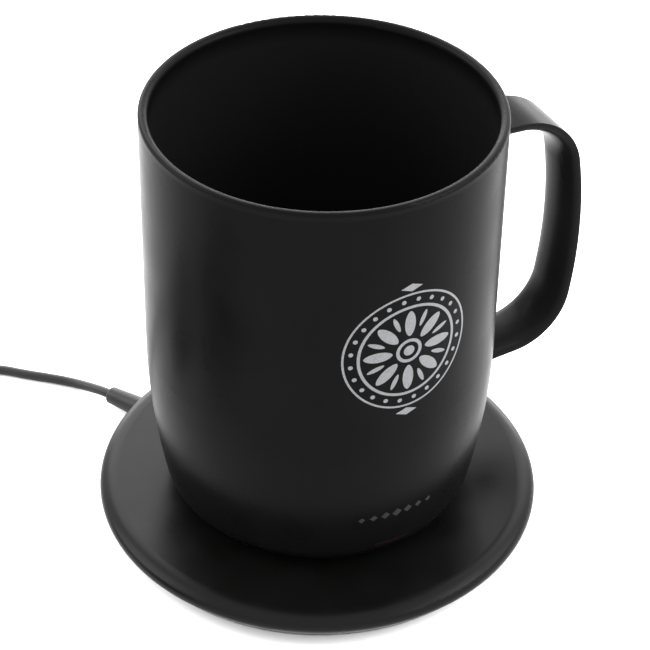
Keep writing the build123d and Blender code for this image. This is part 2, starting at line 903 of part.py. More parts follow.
def battery_cells():
    return Compound([cell(y, cell_radius, 2 * link_start) for y in cell_places()])


def battery_tray():
    tray = disc(tray_radius, tray_low, tray_high)
    span = cell_pitch * cell_count / 2
    wall_start = link_start + link_thickness + ease
    for side in (-1, 1):
        middle = side * link_start * rib_share
        tray += block(
            middle - rib_thickness / 2, middle + rib_thickness / 2,
            -span, span, tray_low, tray_high + rib_height,
        ) & disc(tray_radius, tray_low, tray_high + rib_height)
        inner, outer = sorted((side * wall_start, side * (wall_start + end_wall_thickness)))
        tray += block(
            inner, outer, -end_wall_width / 2, end_wall_width / 2,
            tray_low, tray_high + end_wall_height,
        )
    for y in cell_places():
        tray -= cell(y, cell_radius + ease, 2 * link_start + link_thickness)
    for side in (-1, 1):
        inner, outer = sorted((side * (link_start - ease), side * wall_start))
        tray -= block(
            inner, outer,
            tab_place - tab_width / 2 - ease, tab_place + tab_width / 2 + ease,
            tray_low - overrun, tray_high + overrun,
        )
    for x, y in stud_places:
        tray += disc(post_radius, board_high, tray_low, x, y)
        tray -= disc(screw_radius + hole_ease, board_high, tray_high + overrun, x, y)
    return tray


def battery_links():
    """A nickel strip across the cells at each end, with a tab down to the board."""
    links = []
    half_span = max(cell_places()) + link_overhang
    for side in (-1, 1):
        inner, outer = sorted((side * link_start, side * (link_start + link_thickness)))
        strip = block(
            inner, outer, -half_span, half_span,
            cell_z - link_width / 2, cell_z + link_width / 2,
        )
        tab = block(
            inner, outer, tab_place - tab_width / 2, tab_place + tab_width / 2,
            board_high, cell_z,
        )
        links.append(strip + tab)
    return Compound(links)


def heater_film():
    film = disc(heater_radius, heater_low, liner_underside)
    tail = block(
        -heater_tail_width / 2, heater_tail_width / 2,
        0, heater_tail_reach,
        liner_underside - cable_thickness, liner_underside,
    )
    return film + tail


def heater_cable():
    return block(
        -heater_tail_width / 2, heater_tail_width / 2,
        heater_tail_reach - cable_thickness, heater_tail_reach,
        board_high, liner_underside - cable_thickness,
    )


def sensor(x, gap):
    """A sensor, or with a gap the pocket for it."""
    return block(
        x - sensor_length / 2 - gap, x + sensor_length / 2 + gap,
        -sensor_width / 2 - gap, sensor_width / 2 + gap,
        liner_underside - sensor_height - gap, liner_underside,
    )


def temperature_sensors():
    return Compound([sensor(x, 0) for x in (-sensor_place, sensor_place)])


def insulation_disc():
    slab = disc(disc_radius, disc_low, heater_low)
    for x, y in stud_places:
        slab -= disc(disc_bite, disc_low, heater_low, x, y)
    for x in (-sensor_place, sensor_place):
        slab -= sensor(x, sensor_gap)
    return slab


# Cord
def bend_radii(points):
    """For each corner, the largest arc that its two runs allow."""
    radii = []
    for before, corner, after in zip(points, points[1:], points[2:]):
        run_in, run_out = corner - before, after - corner
        half_turn = math.radians(run_in.get_angle(run_out)) / 2
        radii.append(bend_share * min(run_in.length, run_out.length) / math.tan(half_turn))
    return radii


def tube(points, name):
    """A cord's tube along straight runs joined by tangent arcs."""
    radii = bend_radii(points)
    path = FilletPolyline(*points, radius=radii)
    section = Plane(origin=path @ 0, z_dir=path % 0) * Circle(cord_radius)
    made = sweep(section, path=path)
    drawn = math.pi * cord_radius ** 2 * path.length
    print(f"{name}: arc radii", ", ".join(f"{radius:.1f}" for radius in radii), "mm,",
          f"length {path.length:.1f} mm, volume {made.volume:.1f} of {drawn:.1f} mm3")
    return made


def from_relief(route):
    """Route points, moved to where the strain relief ends."""
    tip = Vector(*at_angle(relief_reach, relief_angle), 0)
    return [tip + Vector(*point) for point in route]


def lead_points():
    first = Vector(*at_angle(relief_reach, relief_angle), relief_height)
    second = Vector(*at_angle(relief_reach + cord_diameter, relief_angle), relief_height)
    return [first, second] + from_relief(cord_route)


def coil_centre():
    """The coil lies where the cord's last run touches its widest turn."""
    return from_relief(cord_route)[-1] + Vector(-cord_diameter, -coil_outer, 0)


def coil_place(turns, centre):
    """The point after a number of turns, and the direction of the cord there.

    The radius falls and grows at a steady rate, layer by layer, and the cord climbs a
    layer in the part of a turn in whose middle that rate reverses.
    """
    layer = int(turns // coil_layer_turns)
    run = turns - layer * coil_layer_turns
    inwards = layer % 2 == 0
    radius = coil_outer - coil_pitch * run if inwards else coil_outer - layer_run + coil_pitch * run
    slope = -coil_pitch if inwards else coil_pitch
    nearest = round(turns / coil_layer_turns)
    near = turns - nearest * coil_layer_turns
    height, climb = coil_pitch * layer, 0
    if abs(near) < same_place or turns >= coil_turns:
        slope = 0
    if 0 < nearest < coil_layers and abs(near) < climb_turns / 2 + same_place:
        share = near / climb_turns + 1 / 2
        height = coil_pitch * (nearest - 1 + share ** 2 * (3 - 2 * share))
        climb = coil_pitch * 6 * share * (1 - share) / climb_turns
    turn = 2 * math.pi * (turns + coil_start_share)
    away = Vector(math.cos(turn), math.sin(turn), 0)
    along = Vector(-math.sin(turn), math.cos(turn), 0)
    direction = along * (2 * math.pi * radius) + away * slope + Vector(0, 0, climb)
    return centre + away * radius + Vector(0, 0, height), direction.normalized()


def biarc(start, start_way, end, end_way):
    """Two arcs that leave one point and reach the next in the given directions."""
    across = end - start
    ways = start_way + end_way
    spare = 2 * (1 - start_way.dot(end_way))
    lean = across.dot(ways)
    arm = (math.sqrt(lean ** 2 + spare * across.dot(across)) - lean) / spare
    first, last = start + start_way * arm, end - end_way * arm
    middle = (first + last) / 2
    return [
        Edge.make_tangent_arc(start, start_way, middle),
        Edge.make_tangent_arc(middle, last - first, end),
    ]


def cord_coil():
    centre = coil_centre()
    steps = int(coil_turns * 4) + 1
    stops = [coil_place(step / 4, centre) for step in range(steps)]
    start, start_way = stops[0]
    end, end_way = stops[-1]
    edges = [Line(start - start_way * cord_diameter, start)]
    for (here, here_way), (there, there_way) in zip(stops, stops[1:]):
        edges += biarc(here, here_way, there, there_way)
    edges.append(Line(end, end + end_way * cord_diameter))
    path = Wire(edges)
    section = Plane(origin=start - start_way * cord_diameter, z_dir=start_way) * Circle(cord_radius)
    made = sweep(section, path=path)
    drawn = math.pi * cord_radius ** 2 * path.length
    print(f"cord_coil: length {path.length:.1f} mm, volume {made.volume:.1f} of {drawn:.1f} mm3,",
          f"least gap to itself {least_gap(edges):.2f} mm")
    return made


def least_gap(edges):
    """The least gap of the coil to itself, between points over a third of a turn apart."""
    samples = 6
    points = [edge @ (number / samples) for edge in edges[1:-1] for number in range(samples)]
    apart = 2 * 4 * samples // 3
    places = [(point.X, point.Y, point.Z) for point in points]
    least = min(
        math.dist(here, there)
        for number, here in enumerate(places)
        for there in places[number + apart:]
    )
    return least - cord_diameter


def tail_points():
    centre = coil_centre()
    end, way = coil_place(coil_turns, centre)
    first = end + way * cord_diameter
    return [first, first + way * tail_start_run] + from_relief(tail_route)


# Wall adaptor: its length lies along Y, its blades point along -Y
def adaptor_tip():
    """The tip of the adaptor's strain relief, where the cord ends."""
    return from_relief(tail_route)[-1]


def adaptor_middle():
    return adaptor_tip().X


def adaptor_end():
    return adaptor_tip().Y - adaptor_relief_length


def adaptor_start():
    return adaptor_end() - adaptor_length


def adaptor_block(inset, start, end):
    """A rounded block along Y, drawn in all round by an inset."""
    across = Rectangle(adaptor_width - 2 * inset, adaptor_height - 2 * inset)
    across = fillet(across.vertices(), max(adaptor_round - inset, adaptor_round / 8))
    place = Plane(
        origin=(adaptor_middle(), start, adaptor_height / 2), x_dir=(1, 0, 0), z_dir=(0, 1, 0)
    )
    return extrude(place * across, end - start)


def adaptor_case():
    joint = adaptor_start() + adaptor_face_thickness
    case = adaptor_block(0, joint, adaptor_end())
    case -= adaptor_block(adaptor_wall, joint - overrun, adaptor_end() - adaptor_wall)
    case -= rod(
        relief_neck_radius + slip, joint, adaptor_end() + overrun,
        adaptor_middle(), adaptor_tip().Z,
    )
    for place in adaptor_ribs():
        case += block(
            adaptor_middle() - adaptor_board_width / 2, adaptor_middle() + adaptor_board_width / 2,
            place - adaptor_rib_thickness / 2, place + adaptor_rib_thickness / 2,
            adaptor_wall / 2, adaptor_wall + adaptor_rib_height,
        )
    return case


def adaptor_ribs():
    middle = (adaptor_start() + adaptor_end()) / 2
    return [middle - adaptor_board_length / 3, middle + adaptor_board_length / 3]


def adaptor_face():
    joint = adaptor_start() + adaptor_face_thickness
    face = adaptor_block(0, adaptor_start(), joint)
    face += adaptor_block(adaptor_wall + ease, joint, joint + adaptor_spigot)
    inner = adaptor_block(2 * adaptor_wall, joint, joint + adaptor_spigot + overrun)
    return face - inner - adaptor_prongs()


def adaptor_prongs():
    blades = []
    for side in (-1, 1):
        middle = adaptor_middle() + side * prong_spacing / 2
        blade = block(
            middle - prong_thickness / 2, middle + prong_thickness / 2,
            adaptor_start() - prong_length, adaptor_start() + prong_inside,
            (adaptor_height - prong_width) / 2, (adaptor_height + prong_width) / 2,
        )
        tip = blade.edges().filter_by(Axis.X).group_by(Axis.Y)[0]
        blades.append(fillet(tip, prong_width / 4))
    return Compound(blades)


def adaptor_relief():
    tip = adaptor_tip()
    cone = strain_relief(adaptor_end(), tip.Y, tip.Z, relief_root_radius)
    neck = rod(relief_neck_radius, adaptor_end() - adaptor_wall, adaptor_end(), z=tip.Z)
    flange = rod(
        adaptor_flange_radius,
        adaptor_end() - adaptor_wall - relief_flange_thickness,
        adaptor_end() - adaptor_wall,
        z=tip.Z,
    )
    return Pos(adaptor_middle(), 0, 0) * (cone + neck + flange)


def adaptor_board_top():
    return adaptor_wall + adaptor_rib_height + adaptor_board_thickness


def adaptor_board():
    middle = (adaptor_start() + adaptor_end()) / 2
    return block(
        adaptor_middle() - adaptor_board_width / 2, adaptor_middle() + adaptor_board_width / 2,
        middle - adaptor_board_length / 2, middle + adaptor_board_length / 2,
        adaptor_wall + adaptor_rib_height, adaptor_board_top(),
    )


def adaptor_transformer():
    middle = (adaptor_start() + adaptor_end()) / 2
    return block(
        adaptor_middle() - transformer_width / 2, adaptor_middle() + transformer_width / 2,
        middle - transformer_length / 2, middle + transformer_length / 2,
        adaptor_board_top(), adaptor_board_top() + transformer_height,
    )


def adaptor_capacitors():
    """Two upright capacitors on the board, towards the blades."""
    middle = (adaptor_start() + adaptor_end()) / 2
    y = middle - transformer_length / 2 - capacitor_radius - ease
    return Compound([
        disc(
            capacitor_radius, adaptor_board_top(), adaptor_board_top() + capacitor_length,
            adaptor_middle() + side * (capacitor_radius + ease), y,
        )
        for side in (-1, 1)
    ])


pieces = {
    "coaster_cover": coaster_cover(),
    "coaster_base": coaster_base(),
    "coaster_pad": coaster_pad(),
    "coaster_screws": coaster_screws(),
    "contact_island": contact_island(),
    "pin_barrels": pin_barrels(),
    "pin_plunger_centre": pin_plunger(*pin_places()[0]),
    "pin_plunger_ring": pin_plunger(*pin_places()[1]),
    "pin_spring_centre": pin_spring(*pin_places()[0]),
    "pin_spring_ring": pin_spring(*pin_places()[1]),
    "coaster_board": coaster_board(),
    "coaster_board_parts": coaster_board_parts(),
    "coaster_leads": coaster_leads(),
    "strain_relief": cord_relief(),
    "inner_cord": inner_cord(),
    "cord_clamp": cord_clamp(),
    "clamp_screws": clamp_screws(),
    "outer_shell": outer_shell(),
    "inner_liner": inner_liner(),
    "liner_studs": liner_studs(),
    "handle": handle(),
    "base_cap": base_cap(),
    "base_gasket": base_gasket(),
    "foot_ring": foot_ring(),
    "base_screws": base_screws(),
    "contact_ring": contact_ring(),
    "contact_centre": contact_centre(),
    "power_button": power_button(),
    "button_switch": button_switch(),
    "control_board": control_board(),
    "board_components": board_components(),
    "status_led": status_led(),
    "light_guide": light_guide(),
    "battery_tray": battery_tray(),
    "battery_cells": battery_cells(),
    "battery_links": battery_links(),
    "heater_film": heater_film(),
    "heater_cable": heater_cable(),
    "temperature_sensors": temperature_sensors(),
    "insulation_disc": insulation_disc(),
    "cord_lead": tube(lead_points(), "cord_lead"),
    "cord_coil": cord_coil(),
    "cord_tail": tube(tail_points(), "cord_tail"),
    "adaptor_case": adaptor_case(),
    "adaptor_face": adaptor_face(),
    "adaptor_prongs": adaptor_prongs(),
    "adaptor_relief": adaptor_relief(),
    "adaptor_board": adaptor_board(),
    "adaptor_transformer": adaptor_transformer(),
    "adaptor_capacitors": adaptor_capacitors(),
}

for name, piece in pieces.items():
    export_step(piece, f"parts/{name}.step")
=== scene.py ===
import json
import math

import bmesh
import bpy
from mathutils import Matrix, Vector


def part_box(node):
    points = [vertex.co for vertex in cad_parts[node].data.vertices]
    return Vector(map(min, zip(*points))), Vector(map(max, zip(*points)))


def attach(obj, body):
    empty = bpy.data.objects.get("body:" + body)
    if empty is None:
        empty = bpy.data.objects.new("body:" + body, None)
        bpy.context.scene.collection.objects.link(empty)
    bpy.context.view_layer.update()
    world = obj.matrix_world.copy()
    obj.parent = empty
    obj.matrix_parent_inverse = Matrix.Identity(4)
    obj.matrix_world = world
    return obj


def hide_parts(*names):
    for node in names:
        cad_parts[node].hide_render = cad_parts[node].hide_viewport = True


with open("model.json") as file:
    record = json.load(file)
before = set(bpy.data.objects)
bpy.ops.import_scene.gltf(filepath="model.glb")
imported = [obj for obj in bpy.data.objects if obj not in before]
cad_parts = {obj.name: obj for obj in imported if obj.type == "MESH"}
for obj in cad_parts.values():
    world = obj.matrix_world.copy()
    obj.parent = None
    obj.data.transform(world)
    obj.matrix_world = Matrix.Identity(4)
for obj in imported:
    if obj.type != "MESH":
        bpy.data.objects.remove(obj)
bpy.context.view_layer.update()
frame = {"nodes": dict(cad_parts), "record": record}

# A black self heating mug on its charging coaster. Metres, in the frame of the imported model:
# the origin is on the mug's axis at the table, +X points along the handle, -Y to the front.

nodes = frame["nodes"]
mug_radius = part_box("outer_shell")[1].x
scene = bpy.context.scene


# The photograph's camera, found from the round edges of the mug and the coaster
IMAGE_WIDTH = 650        # in pixels
FOCAL_PIXELS = 2291.4
SENSOR_WIDTH = 36.0      # in millimetres, as lens lengths are
NEAR_CLIP = 0.01
CAMERA_PLACE = Vector((-0.1972, -0.3663, 0.3754))
CAMERA_HEADING = math.radians(-28.449)  # from +Y about the vertical
CAMERA_PITCH = math.radians(37.815)     # below the horizon
CAMERA_ROLL = math.radians(1.169)


def make_camera():
    lens = bpy.data.cameras.new("camera")
    lens.sensor_width = SENSOR_WIDTH
    lens.lens = FOCAL_PIXELS / IMAGE_WIDTH * SENSOR_WIDTH
    lens.clip_start = NEAR_CLIP
    camera = bpy.data.objects.new("camera", lens)
    scene.collection.objects.link(camera)
    camera.matrix_world = (
        Matrix.Translation(CAMERA_PLACE)
        @ Matrix.Rotation(CAMERA_HEADING, 4, "Z")
        @ Matrix.Rotation(math.pi / 2 - CAMERA_PITCH, 4, "X")
        @ Matrix.Rotation(CAMERA_ROLL, 4, "Z")
    )
    scene.camera = camera


make_camera()


# The cord: the same route as the CAD tube's
CORD_DIAMETER = 0.0024
RELIEF_ANGLE = math.radians(119.7)  # from +X about the vertical
RELIEF_REACH = 0.0627    # from the axis to the relief's tip
RELIEF_HEIGHT = 0.0032   # of the cord's middle in the relief
LEAD_ROUTE = [           # along X and Y from the relief's tip, and height over the table
    (-0.00281, 0.00599, 0.0021),
    (-0.00565, 0.01066, 0.0013),
    (-0.01001, 0.01492, 0.0012),
    (-0.01517, 0.01922, 0.0012),
    (-0.02048, 0.02444, 0.0012),
    (-0.02840, 0.02860, 0.0012),
    (-0.03840, 0.02960, 0.0012),
    (-0.04890, 0.02610, 0.0012),
    (-0.05890, 0.01910, 0.0012),
    (-0.06690, 0.01504, 0.0012),
    (-0.07454, 0.01504, 0.0012),
]
COIL_OUTER = 0.0195      # radius of a layer's widest turn
COIL_PITCH = 0.00285     # from turn to turn and from layer to layer
COIL_LAYER_TURNS = 4
COIL_LAYERS = 4
COIL_TURNS = 15.25
COIL_START = 0.25        # of a turn from +X, where the cord joins the coil
COIL_STEPS = 16          # points for each turn
COIL_CLIMB = 0.25        # of a turn, before and after a layer's end, in which the cord climbs
CURVE_ORDER = 3
CURVE_STEPS = 6          # between two points
TUBE_STEPS = 5           # round the tube
TAIL_START_RUN = 0.0070  # straight, from the coil to the tail's first bend
TAIL_ROUTE = [           # from the relief's tip too
    (-0.09496, -0.01936, 0.0090),
    (-0.09576, -0.02456, 0.0090),
    (-0.09576, -0.02926, 0.0090),
]


def coil_place(turns, centre):
    """The coil's centre line after a number of turns, as in the CAD model."""
    layer = int(turns // COIL_LAYER_TURNS)
    run = turns - layer * COIL_LAYER_TURNS
    if layer % 2 == 0:
        radius = COIL_OUTER - COIL_PITCH * run
    else:
        radius = COIL_OUTER - COIL_PITCH * (COIL_LAYER_TURNS - run)
    nearest = round(turns / COIL_LAYER_TURNS)
    near = turns - nearest * COIL_LAYER_TURNS
    height = COIL_PITCH * layer
    if 0 < nearest < COIL_LAYERS and abs(near) < COIL_CLIMB:
        share = 0.5 + 0.5 * near / COIL_CLIMB
        height = COIL_PITCH * (nearest - 1 + share ** 2 * (3 - 2 * share))
    turn = math.tau * (turns + COIL_START)
    return centre + Vector((radius * math.cos(turn), radius * math.sin(turn), height))


def cord_points():
    """The points of the cord's curve, from the relief's tip to the adaptor."""
    way = Vector((math.cos(RELIEF_ANGLE), math.sin(RELIEF_ANGLE), 0))
    tip = way * RELIEF_REACH
    rise = Vector((0, 0, RELIEF_HEIGHT))
    points = [tip + rise, tip + way * CORD_DIAMETER + rise]
    points += [tip + Vector(point) for point in LEAD_ROUTE]
    centre = points[-1] + Vector((-CORD_DIAMETER, -COIL_OUTER, 0))
    for step in range(int(COIL_TURNS * COIL_STEPS) + 1):
        points.append(coil_place(step / COIL_STEPS, centre))
    down = Vector((0, -1, 0))
    points.append(points[-1] + down * CORD_DIAMETER)
    points.append(points[-1] + down * TAIL_START_RUN)
    return points + [tip + Vector(point) for point in TAIL_ROUTE]


def make_cord():
    """One curve for the cord's whole way, in place of the CAD model's three pieces."""
    points = cord_points()
    curve = bpy.data.curves.new("power_cord", "CURVE")
    curve.dimensions = "3D"
    spline = curve.splines.new("NURBS")
    spline.points.add(len(points) - 1)
    for knot, point in zip(spline.points, points):
        knot.co = (*point, 1)
        knot.radius = CORD_DIAMETER / 2    # the tube's radius, as the bevel's depth is 1
    spline.order_u = CURVE_ORDER
    spline.use_endpoint_u = True
    spline.resolution_u = CURVE_STEPS
    curve.bevel_depth = 1.0
    curve.bevel_resolution = TUBE_STEPS
    curve.use_fill_caps = True
    cord = bpy.data.objects.new("power_cord", curve)
    scene.collection.objects.link(cord)
    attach(cord, "coaster")
    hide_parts("cord_lead", "cord_coil", "cord_tail")
    return cord


cord = make_cord()


# Materials
def new_material(name, color, roughness, metallic=0.0, specular=0.5):
    """A Principled material with plain values, and its shader."""
    material = bpy.data.materials.new(name)
    material.use_nodes = True
    shader = material.node_tree.nodes["Principled BSDF"]
    shader.inputs["Base Color"].default_value = (*color, 1)
    shader.inputs["Roughness"].default_value = roughness
    shader.inputs["Metallic"].default_value = metallic
    shader.inputs["Specular IOR Level"].default_value = specular
    return material, shader


def add(material, kind, **settings):
    """A new shader node, with its properties set as named."""
    node = material.node_tree.nodes.new(kind)
    for name, value in settings.items():
        setattr(node, name, value)
    return node


def link(material, out, into):
    material.node_tree.links.new(out, into)


def object_space(material, scale=(1, 1, 1)):
    """Object coordinates, stretched."""
    place = add(material, "ShaderNodeTexCoord")
    mapping = add(material, "ShaderNodeMapping")
    mapping.inputs["Scale"].default_value = scale
    link(material, place.outputs["Object"], mapping.inputs["Vector"])
    return mapping.outputs["Vector"]


def grain(material, size, detail=2.0, space=None):
    """Noise whose features are about the given size across, in metres."""
    noise = add(material, "ShaderNodeTexNoise")
    noise.inputs["Scale"].default_value = 1 / size
    noise.inputs["Detail"].default_value = detail
    link(material, space or object_space(material), noise.inputs["Vector"])
    return noise.outputs["Fac"]


def spread(material, value, into, low, high, start=0.3, end=0.7):
    """Send a value to a socket, so that it goes from low to high between start and end."""
    ramp = add(material, "ShaderNodeMapRange")
    ramp.inputs["From Min"].default_value = start
    ramp.inputs["From Max"].default_value = end
    ramp.inputs["To Min"].default_value = low
    ramp.inputs["To Max"].default_value = high
    link(material, value, ramp.inputs["Value"])
    link(material, ramp.outputs["Result"], into)


def roughen(material, shader, value, low, high):
    """Let a value vary the roughness between two limits."""
    spread(material, value, shader.inputs["Roughness"], low, high)


def shade(material, shader, value, first, last, start=0.3, end=0.7):
    """Let a value vary the colour, from the first to the last between start and end."""
    ramp = add(material, "ShaderNodeValToRGB")
    ramp.color_ramp.elements[0].position = start
    ramp.color_ramp.elements[1].position = end
    ramp.color_ramp.elements[0].color = (*first, 1)
    ramp.color_ramp.elements[1].color = (*last, 1)
    link(material, value, ramp.inputs["Fac"])
    link(material, ramp.outputs["Color"], shader.inputs["Base Color"])


def bump(material, shader, value, depth):
    """Let a value raise the surface, by a depth in metres."""
    relief = add(material, "ShaderNodeBump")
    relief.inputs["Distance"].default_value = depth
    relief.inputs["Strength"].default_value = 1.0
    link(material, value, relief.inputs["Height"])
    link(material, relief.outputs["Normal"], shader.inputs["Normal"])


def toned(color, factor, lift=0.0):
    """A colour made lighter or darker."""
    return tuple(min(1.0, part * factor + lift) for part in color)


def satin_coating(name, tone):
    """The mug's black coating: even, very fine, with a soft sheen."""
    black = (tone, tone, tone)
    material, shader = new_material(name, black, roughness=0.29, specular=0.021)
    cloud = grain(material, size=0.012)
    roughen(material, shader, cloud, low=0.26, high=0.32)
    dark = (tone * 0.9, tone * 0.9, tone * 0.92)
    light = (tone * 1.1, tone * 1.1, tone * 1.12)
    shade(material, shader, cloud, dark, light)
    bump(material, shader, grain(material, size=0.0005), depth=0.000004)
    return material


PAINTED_LIGHT_TOP = 0.1090       # the height from which the inside has the lip's darker tone; below it the inside is painted paler, as painted light
TONE_FADE = 0.002        # the height under it in which the tone changes


def lining_with_painted_light():
    """The inside of the mug: more matt, and painted a little paler below the rim than on it,
    as painted light for the shaded inside.
    """
    # The inside's tone is painted light: a paler copy of the black coating that stands in for
    # light reaching down inside the mug.
    inside = (0.0050, 0.0050, 0.0052)
    lip = (0.0018, 0.0018, 0.0019)
    material, shader = new_material("lining_with_painted_light", inside, roughness=0.36, specular=0.035)
    cloud = grain(material, size=0.010)
    roughen(material, shader, cloud, low=0.33, high=0.39)
    height = add(material, "ShaderNodeSeparateXYZ")
    link(material, object_space(material), height.inputs["Vector"])
    shade(
        material, shader, height.outputs["Z"], inside, lip,
        start=PAINTED_LIGHT_TOP - TONE_FADE, end=PAINTED_LIGHT_TOP,
    )
    bump(material, shader, grain(material, size=0.0006), depth=0.000005)
    return material


def cover_plastic():
    """The coaster's satin plastic."""
    color = (0.0021, 0.0020, 0.0020)
    material, shader = new_material("cover_plastic", color, roughness=0.3, specular=0.08)
    cloud = grain(material, size=0.010)
    roughen(material, shader, cloud, low=0.27, high=0.34)
    dark, light = (0.0018, 0.0018, 0.0017), (0.0024, 0.0023, 0.0023)
    shade(material, shader, cloud, dark, light)
    bump(material, shader, grain(material, size=0.0004), depth=0.000005)
    return material


def moulded_plastic(name, color, roughness=0.5, specular=0.3):
    """Moulded plastic with a fine spark-eroded texture."""
    material, shader = new_material(name, color, roughness, specular=specular)
    speck = grain(material, size=0.0006, detail=3.0)
    cloud = grain(material, size=0.006)
    shade(material, shader, cloud, color, toned(color, 1.3, 0.001))
    roughen(material, shader, speck, low=roughness - 0.06, high=roughness + 0.08)
    bump(material, shader, speck, depth=0.00002)
    return material


def soft_rubber(name, color, roughness=0.6):
    """Rubber with a dusty sheen and a faint moulded skin."""
    material, shader = new_material(name, color, roughness, specular=0.22)
    shader.inputs["Sheen Weight"].default_value = 0.03
    shader.inputs["Sheen Roughness"].default_value = 0.4
    skin = grain(material, size=0.0008, detail=3.0)
    cloud = grain(material, size=0.004)
    shade(material, shader, cloud, color, toned(color, 1.5, 0.001))
    roughen(material, shader, skin, low=roughness - 0.05, high=roughness + 0.08)
    bump(material, shader, skin, depth=0.00001)
    return material


def turned_metal(name, color, roughness):
    """Machined metal with fine turning lines round the vertical."""
    material, shader = new_material(name, color, roughness, metallic=1.0)
    drawn_out = object_space(material, scale=(0.15, 0.15, 3.0))
    lines = grain(material, size=0.0003, space=drawn_out)
    cloud = grain(material, size=0.002)
    roughen(material, shader, lines, low=roughness - 0.08, high=roughness + 0.1)
    shade(material, shader, cloud, toned(color, 0.86), color)
    bump(material, shader, lines, depth=0.000006)
    return material


def printed_board():
    """Green solder mask over a pattern of copper tracks."""
    material, shader = new_material("printed_board", (0.02, 0.12, 0.05), roughness=0.35)
    tracks = add(material, "ShaderNodeTexBrick")
    tracks.inputs["Scale"].default_value = 220.0
    tracks.inputs["Mortar Size"].default_value = 0.03
    tracks.inputs["Color1"].default_value = (0.015, 0.10, 0.045, 1)
    tracks.inputs["Color2"].default_value = (0.020, 0.13, 0.055, 1)
    tracks.inputs["Mortar"].default_value = (0.05, 0.22, 0.08, 1)
    link(material, object_space(material), tracks.inputs["Vector"])
    link(material, tracks.outputs["Color"], shader.inputs["Base Color"])
    bump(material, shader, tracks.outputs["Fac"], depth=0.00003)
    shader.inputs["Coat Weight"].default_value = 0.3
    return material


def shrink_sleeve(name, color):
    """A battery's or capacitor's heat-shrunk sleeve, faintly wrinkled."""
    material, shader = new_material(name, color, roughness=0.3)
    drawn_out = object_space(material, scale=(0.3, 1, 1))
    wrinkle = grain(material, size=0.004, space=drawn_out)
    shade(material, shader, wrinkle, color, toned(color, 1.2, 0.01))
    bump(material, shader, wrinkle, depth=0.00008)
    shader.inputs["Coat Weight"].default_value = 0.4
    return material


def heater_laminate():
    """Amber film over a winding heater track."""
    material, shader = new_material("heater_laminate", (0.5, 0.22, 0.05), roughness=0.3)
    track = add(material, "ShaderNodeTexWave", wave_type="RINGS", rings_direction="Z")
    track.inputs["Scale"].default_value = 110.0
    track.inputs["Distortion"].default_value = 1.5
    link(material, object_space(material), track.inputs["Vector"])
    dark, light = (0.20, 0.08, 0.02), (0.55, 0.25, 0.06)
    shade(material, shader, track.outputs["Fac"], dark, light, start=0.45, end=0.55)
    bump(material, shader, track.outputs["Fac"], depth=0.00005)
    return material


def pressed_fibre():
    """The insulation's pale pressed fibre."""
    color = (0.62, 0.61, 0.57)
    material, shader = new_material("pressed_fibre", color, roughness=0.9, specular=0.2)
    drawn_out = object_space(material, scale=(1, 0.25, 1))
    fibre = grain(material, size=0.001, detail=4.0, space=drawn_out)
    dark, light = (0.50, 0.49, 0.46), (0.70, 0.69, 0.66)
    shade(material, shader, fibre, dark, light)
    bump(material, shader, fibre, depth=0.0002)
    return material


LAMP_X = -0.0021         # the lamp's place along X
GLOW_STRENGTH = 0.0030   # in front of the lamp
GLOW_REST = 0.0003       # away from it
GLOW_CORE = 0.0005       # distance from the lamp up to which the glow is full
GLOW_REACH = 0.0040      # distance at which it has faded


def glowing_guide():
    """The smoked light guide, lit a faint dark red in front of the lamp."""
    color = (0.004, 0.002, 0.002)
    material, shader = new_material("glowing_guide", color, roughness=0.35, specular=0.1)
    beside = add(material, "ShaderNodeVectorMath", operation="SUBTRACT")
    beside.inputs[1].default_value = (LAMP_X, 0, 0)
    link(material, object_space(material, scale=(1, 0, 0)), beside.inputs[0])
    distance = add(material, "ShaderNodeVectorMath", operation="LENGTH")
    link(material, beside.outputs["Vector"], distance.inputs[0])
    spread(
        material, distance.outputs["Value"], shader.inputs["Emission Strength"],
        low=GLOW_STRENGTH, high=GLOW_REST, start=GLOW_CORE, end=GLOW_REACH,
    )
    shader.inputs["Emission Color"].default_value = (1.0, 0.06, 0.04, 1)
    dark, light = (0.003, 0.0018, 0.0018), (0.005, 0.0025, 0.0025)
    shade(material, shader, grain(material, size=0.001), dark, light)
    return material


def lamp_resin():
    """The status lamp's clear, slightly warm resin."""
    material, shader = new_material("lamp_resin", (0.8, 0.76, 0.66), roughness=0.2)
    dark, light = (0.70, 0.66, 0.56), (0.86, 0.82, 0.74)
    shade(material, shader, grain(material, size=0.0006), dark, light)
    shader.inputs["Coat Weight"].default_value = 0.5
    return material


def silver_ink():
    """The ornament's matt silver print."""
    color = (0.13, 0.13, 0.136)
    material, shader = new_material("silver_ink", color, roughness=0.45, metallic=0.35)
    fleck = grain(material, size=0.0006, detail=3.0)
    dark, light = (0.090, 0.091, 0.096), (0.128, 0.129, 0.135)
    shade(material, shader, fleck, dark, light)
    roughen(material, shader, fleck, low=0.38, high=0.52)
    bump(material, shader, fleck, depth=0.00001)
    return material


def grey_ink():
    """The small mark's dark grey print."""
    color = (0.010, 0.010, 0.0105)
    material, shader = new_material("grey_ink", color, roughness=0.5, specular=0.1)
    fleck = grain(material, size=0.0005, detail=3.0)
    dark, light = (0.0110, 0.0110, 0.0114), (0.0155, 0.0155, 0.0160)
    shade(material, shader, fleck, dark, light)
    bump(material, shader, fleck, depth=0.00001)
    return material


jacket = soft_rubber("cord_jacket", (0.005, 0.005, 0.0052), roughness=0.42)

